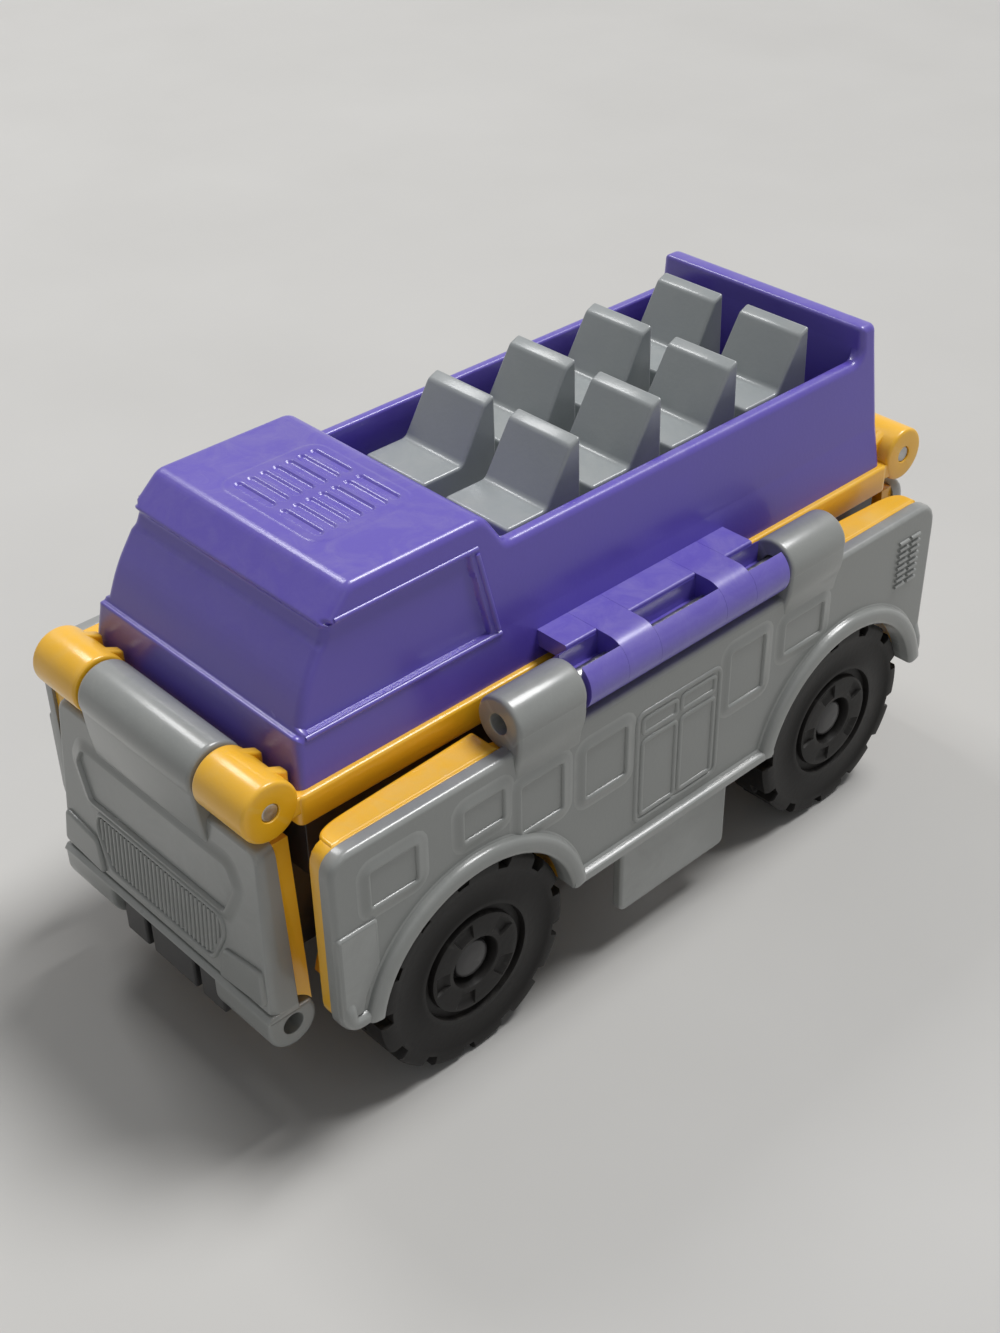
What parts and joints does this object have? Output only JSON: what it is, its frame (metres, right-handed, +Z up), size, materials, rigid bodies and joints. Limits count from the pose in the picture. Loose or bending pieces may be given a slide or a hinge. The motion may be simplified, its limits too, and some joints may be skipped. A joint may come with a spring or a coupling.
{
  "type": "folding toy bus",
  "caption": "Open-top toy bus with a cab, rows of seats and rolling wheels; hinged panels at the front, rear and sides swing up so that it turns inside out.",
  "frame": {"origin": "on the floor under the middle of the bus, between the front and rear bumpers and between the wheels", "axes": "+Z up, -Y to the front of the bus, +X to its right-hand panel as seen in the picture"},
  "size_m": [0.0422, 0.084, 0.0479],
  "materials": {
    "purple_plastic": "satin moulded plastic",
    "grey_plastic": "satin moulded plastic",
    "seat_plastic": "satin moulded plastic",
    "orange_plastic": "satin moulded plastic",
    "charcoal_plastic": "dull moulded plastic",
    "wheel_plastic": "dull moulded plastic",
    "steel": "dull drawn wire"
  },
  "bodies": {
    "core": {"upper_deck": "purple_plastic", "seat_tray": "seat_plastic", "core_frame": "orange_plastic", "lower_body": "charcoal_plastic", "core_screws": "steel", "front_hinge_pin": "steel", "rear_hinge_pin": "steel", "right_hinge_pin": "steel", "left_hinge_pin": "steel"},
    "front_panel": {"front_shell": "grey_plastic", "front_liner": "orange_plastic", "front_bumper_insert": "charcoal_plastic"},
    "rear_panel": {"rear_shell": "grey_plastic", "rear_liner": "orange_plastic", "rear_bumper_insert": "charcoal_plastic"},
    "right_panel": {"right_side_shell": "grey_plastic", "right_side_liner": "orange_plastic", "front_right_wheel_pin": "charcoal_plastic", "rear_right_wheel_pin": "charcoal_plastic"},
    "left_panel": {"left_side_shell": "grey_plastic", "left_side_liner": "orange_plastic", "front_left_wheel_pin": "charcoal_plastic", "rear_left_wheel_pin": "charcoal_plastic"},
    "front_right_roller": {"front_right_wheel": "wheel_plastic"},
    "front_left_roller": {"front_left_wheel": "wheel_plastic"},
    "rear_right_roller": {"rear_right_wheel": "wheel_plastic"},
    "rear_left_roller": {"rear_left_wheel": "wheel_plastic"}
  },
  "joints": [
    {"name": "front_hinge", "type": "hinge", "parent": "core", "child": "front_panel", "pos_m": [0, -0.0392, 0.0328], "axis": [-1, 0, 0], "range_deg": [0, 180]},
    {"name": "rear_hinge", "type": "hinge", "parent": "core", "child": "rear_panel", "pos_m": [0, 0.0392, 0.0328], "axis": [1, 0, 0], "range_deg": [0, 180]},
    {"name": "right_hinge", "type": "hinge", "parent": "core", "child": "right_panel", "pos_m": [0.0185, 0.0012, 0.0328], "axis": [0, -1, 0], "range_deg": [0, 180]},
    {"name": "left_hinge", "type": "hinge", "parent": "core", "child": "left_panel", "pos_m": [-0.0185, 0.0012, 0.0328], "axis": [0, 1, 0], "range_deg": [0, 180]},
    {"name": "front_right_spin", "type": "hinge", "parent": "right_panel", "child": "front_right_roller", "pos_m": [0.0173, -0.0238, 0.0104], "axis": [1, 0, 0], "continuous": true},
    {"name": "front_left_spin", "type": "hinge", "parent": "left_panel", "child": "front_left_roller", "pos_m": [-0.0173, -0.0238, 0.0104], "axis": [1, 0, 0], "continuous": true},
    {"name": "rear_right_spin", "type": "hinge", "parent": "right_panel", "child": "rear_right_roller", "pos_m": [0.0173, 0.0246, 0.0104], "axis": [1, 0, 0], "continuous": true},
    {"name": "rear_left_spin", "type": "hinge", "parent": "left_panel", "child": "rear_left_roller", "pos_m": [-0.0173, 0.0246, 0.0104], "axis": [1, 0, 0], "continuous": true}
  ]
}
